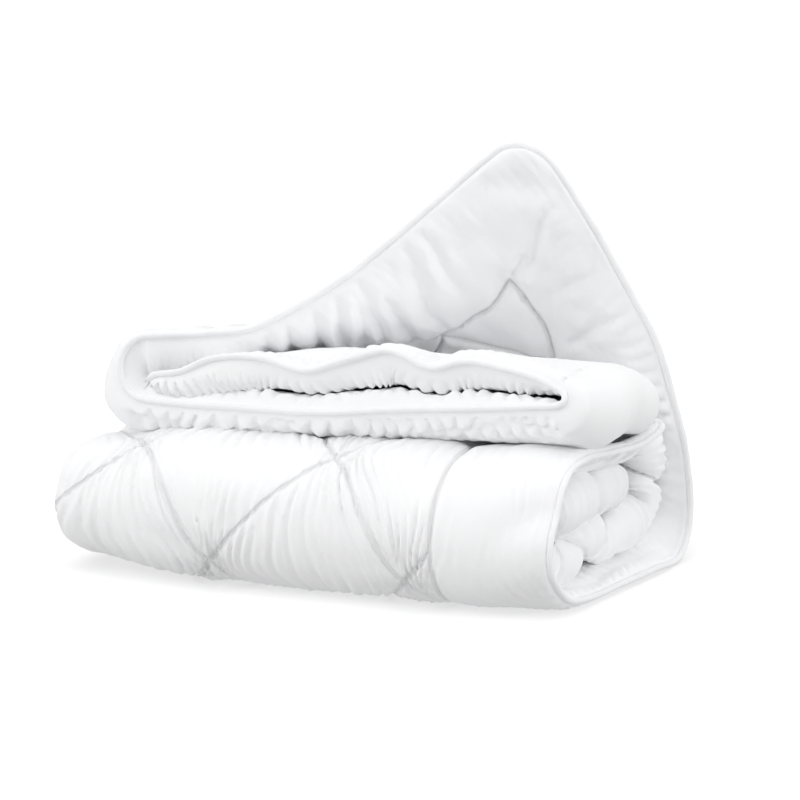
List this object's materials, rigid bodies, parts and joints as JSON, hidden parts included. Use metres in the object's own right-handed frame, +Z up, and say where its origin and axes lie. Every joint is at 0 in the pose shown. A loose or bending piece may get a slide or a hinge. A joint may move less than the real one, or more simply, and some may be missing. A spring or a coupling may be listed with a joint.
{
  "type": "rolled duvet",
  "caption": "Filled quilted duvet with a piped edge, folded in thirds across its width, rolled up, with the corner of its outer layer lifted at the back.",
  "frame": {"origin": "centre of the bounding box at its bottom, on the surface the roll lies on", "axes": "+Z up, -Y to the front, the rounded side of the roll, and +X to the right along the roll, towards the free edge of the outer layer"},
  "size_m": [0.7004, 0.4616, 0.5302],
  "materials": {
    "duvet": "matt woven cotton, white",
    "piping": "matt woven cotton over cord, white"
  },
  "bodies": {
    "root": {"duvet": "duvet", "piping": "piping"}
  },
  "joints": []
}
